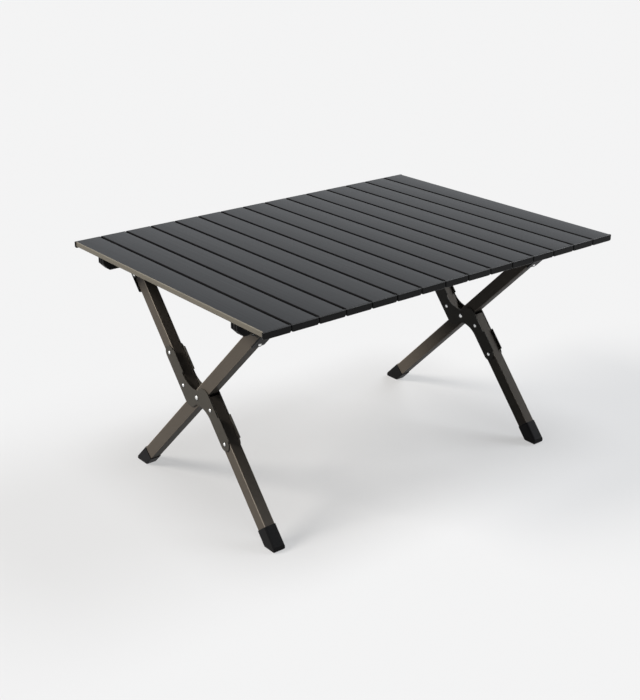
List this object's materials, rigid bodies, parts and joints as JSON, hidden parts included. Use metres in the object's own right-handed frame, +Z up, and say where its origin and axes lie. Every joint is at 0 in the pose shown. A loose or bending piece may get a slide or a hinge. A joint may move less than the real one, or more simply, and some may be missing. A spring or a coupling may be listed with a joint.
{
  "type": "roll-top camp table",
  "caption": "Low camp table: a slatted metal top strung on elastic cords rolls up, on two rails carried by folding crossed legs with riveted gussets and plastic feet.",
  "frame": {"origin": "on the floor, under the middle of the top", "axes": "+X along the table across the slats, +Y along the slats, +Z up"},
  "size_m": [0.8986, 0.65, 0.49],
  "materials": {
    "slat_coat": "satin dark grey coat",
    "tube_coat": "satin grey-brown coat",
    "plate_coat": "satin dark grey paint",
    "black_plastic": "fine moulded grain",
    "bright_rivet": "bright domed head",
    "washer_nylon": "plain",
    "elastic_cord": "braided cover"
  },
  "bodies": {
    "frame_a": {"leg_a_left": "tube_coat", "leg_a_right": "tube_coat", "foot_a_left": "black_plastic", "foot_a_right": "black_plastic", "rail_front": "tube_coat", "rail_plugs_front": "black_plastic", "brackets_front": "black_plastic", "bracket_rivets_front": "bright_rivet"},
    "frame_b": {"leg_b_upper_left": "tube_coat", "leg_b_upper_right": "tube_coat", "leg_b_lower_left": "tube_coat", "leg_b_lower_right": "tube_coat", "foot_b_left": "black_plastic", "foot_b_right": "black_plastic", "gusset_plates_left": "plate_coat", "gusset_plates_right": "plate_coat", "gusset_rivets": "bright_rivet", "pivot_pins": "bright_rivet", "pivot_washers": "washer_nylon", "rail_back": "tube_coat", "rail_plugs_back": "black_plastic", "brackets_back": "black_plastic", "bracket_rivets_back": "bright_rivet"},
    "top_01": {"slat_01": "slat_coat", "slat_caps_01": "black_plastic", "elastic_cords": "elastic_cord", "top_hooks_left": "black_plastic", "hook_rivets_left": "bright_rivet"},
    "top_02": {"slat_02": "slat_coat", "slat_caps_02": "black_plastic"},
    "top_03": {"slat_03": "slat_coat", "slat_caps_03": "black_plastic"},
    "top_04": {"slat_04": "slat_coat", "slat_caps_04": "black_plastic"},
    "top_05": {"slat_05": "slat_coat", "slat_caps_05": "black_plastic"},
    "top_06": {"slat_06": "slat_coat", "slat_caps_06": "black_plastic"},
    "top_07": {"slat_07": "slat_coat", "slat_caps_07": "black_plastic"},
    "top_08": {"slat_08": "slat_coat", "slat_caps_08": "black_plastic"},
    "top_09": {"slat_09": "slat_coat", "slat_caps_09": "black_plastic"},
    "top_10": {"slat_10": "slat_coat", "slat_caps_10": "black_plastic"},
    "top_11": {"slat_11": "slat_coat", "slat_caps_11": "black_plastic"},
    "top_12": {"slat_12": "slat_coat", "slat_caps_12": "black_plastic"},
    "top_13": {"slat_13": "slat_coat", "slat_caps_13": "black_plastic"},
    "top_14": {"slat_14": "slat_coat", "slat_caps_14": "black_plastic"},
    "top_15": {"slat_15": "slat_coat", "slat_caps_15": "black_plastic", "top_hooks_right": "black_plastic", "hook_rivets_right": "bright_rivet"}
  },
  "joints": [
    {"name": "leg_fold", "type": "hinge", "parent": "frame_a", "child": "frame_b", "pos_m": [0, 0, 0.236], "axis": [1, 0, 0], "range_deg": [0, 80]},
    {"name": "top_lift", "type": "slide", "parent": "frame_a", "child": "top_01", "axis": [0, 0, 1], "range_m": [0, 0.42]},
    {"name": "roll_01", "type": "hinge", "parent": "top_01", "child": "top_02", "pos_m": [-0.39, 0, 0.49], "axis": [0, -1, 0], "range_deg": [0, 38], "deforming": ["elastic_cords"]},
    {"name": "roll_02", "type": "hinge", "parent": "top_02", "child": "top_03", "pos_m": [-0.33, 0, 0.49], "axis": [0, -1, 0], "range_deg": [0, 39]},
    {"name": "roll_03", "type": "hinge", "parent": "top_03", "child": "top_04", "pos_m": [-0.27, 0, 0.49], "axis": [0, -1, 0], "range_deg": [0, 41]},
    {"name": "roll_04", "type": "hinge", "parent": "top_04", "child": "top_05", "pos_m": [-0.21, 0, 0.49], "axis": [0, -1, 0], "range_deg": [0, 42]},
    {"name": "roll_05", "type": "hinge", "parent": "top_05", "child": "top_06", "pos_m": [-0.15, 0, 0.49], "axis": [0, -1, 0], "range_deg": [0, 44]},
    {"name": "roll_06", "type": "hinge", "parent": "top_06", "child": "top_07", "pos_m": [-0.09, 0, 0.49], "axis": [0, -1, 0], "range_deg": [0, 46]},
    {"name": "roll_07", "type": "hinge", "parent": "top_07", "child": "top_08", "pos_m": [-0.03, 0, 0.49], "axis": [0, -1, 0], "range_deg": [0, 48]},
    {"name": "roll_08", "type": "hinge", "parent": "top_08", "child": "top_09", "pos_m": [0.03, 0, 0.49], "axis": [0, -1, 0], "range_deg": [0, 51]},
    {"name": "roll_09", "type": "hinge", "parent": "top_09", "child": "top_10", "pos_m": [0.09, 0, 0.49], "axis": [0, -1, 0], "range_deg": [0, 54]},
    {"name": "roll_10", "type": "hinge", "parent": "top_10", "child": "top_11", "pos_m": [0.15, 0, 0.49], "axis": [0, -1, 0], "range_deg": [0, 58]},
    {"name": "roll_11", "type": "hinge", "parent": "top_11", "child": "top_12", "pos_m": [0.21, 0, 0.49], "axis": [0, -1, 0], "range_deg": [0, 63]},
    {"name": "roll_12", "type": "hinge", "parent": "top_12", "child": "top_13", "pos_m": [0.27, 0, 0.49], "axis": [0, -1, 0], "range_deg": [0, 69]},
    {"name": "roll_13", "type": "hinge", "parent": "top_13", "child": "top_14", "pos_m": [0.33, 0, 0.49], "axis": [0, -1, 0], "range_deg": [0, 78]},
    {"name": "roll_14", "type": "hinge", "parent": "top_14", "child": "top_15", "pos_m": [0.39, 0, 0.49], "axis": [0, -1, 0], "range_deg": [0, 90]}
  ],
  "couplings": [
    {"joint": "top_lift", "follows": "leg_fold", "m_per_rad": 0.3},
    {"joint": "roll_01", "follows": "roll_14", "ratio": 0.422},
    {"joint": "roll_02", "follows": "roll_14", "ratio": 0.433},
    {"joint": "roll_03", "follows": "roll_14", "ratio": 0.455},
    {"joint": "roll_04", "follows": "roll_14", "ratio": 0.466},
    {"joint": "roll_05", "follows": "roll_14", "ratio": 0.488},
    {"joint": "roll_06", "follows": "roll_14", "ratio": 0.511},
    {"joint": "roll_07", "follows": "roll_14", "ratio": 0.533},
    {"joint": "roll_08", "follows": "roll_14", "ratio": 0.566},
    {"joint": "roll_09", "follows": "roll_14", "ratio": 0.6},
    {"joint": "roll_10", "follows": "roll_14", "ratio": 0.644},
    {"joint": "roll_11", "follows": "roll_14", "ratio": 0.7},
    {"joint": "roll_12", "follows": "roll_14", "ratio": 0.766},
    {"joint": "roll_13", "follows": "roll_14", "ratio": 0.866}
  ]
}
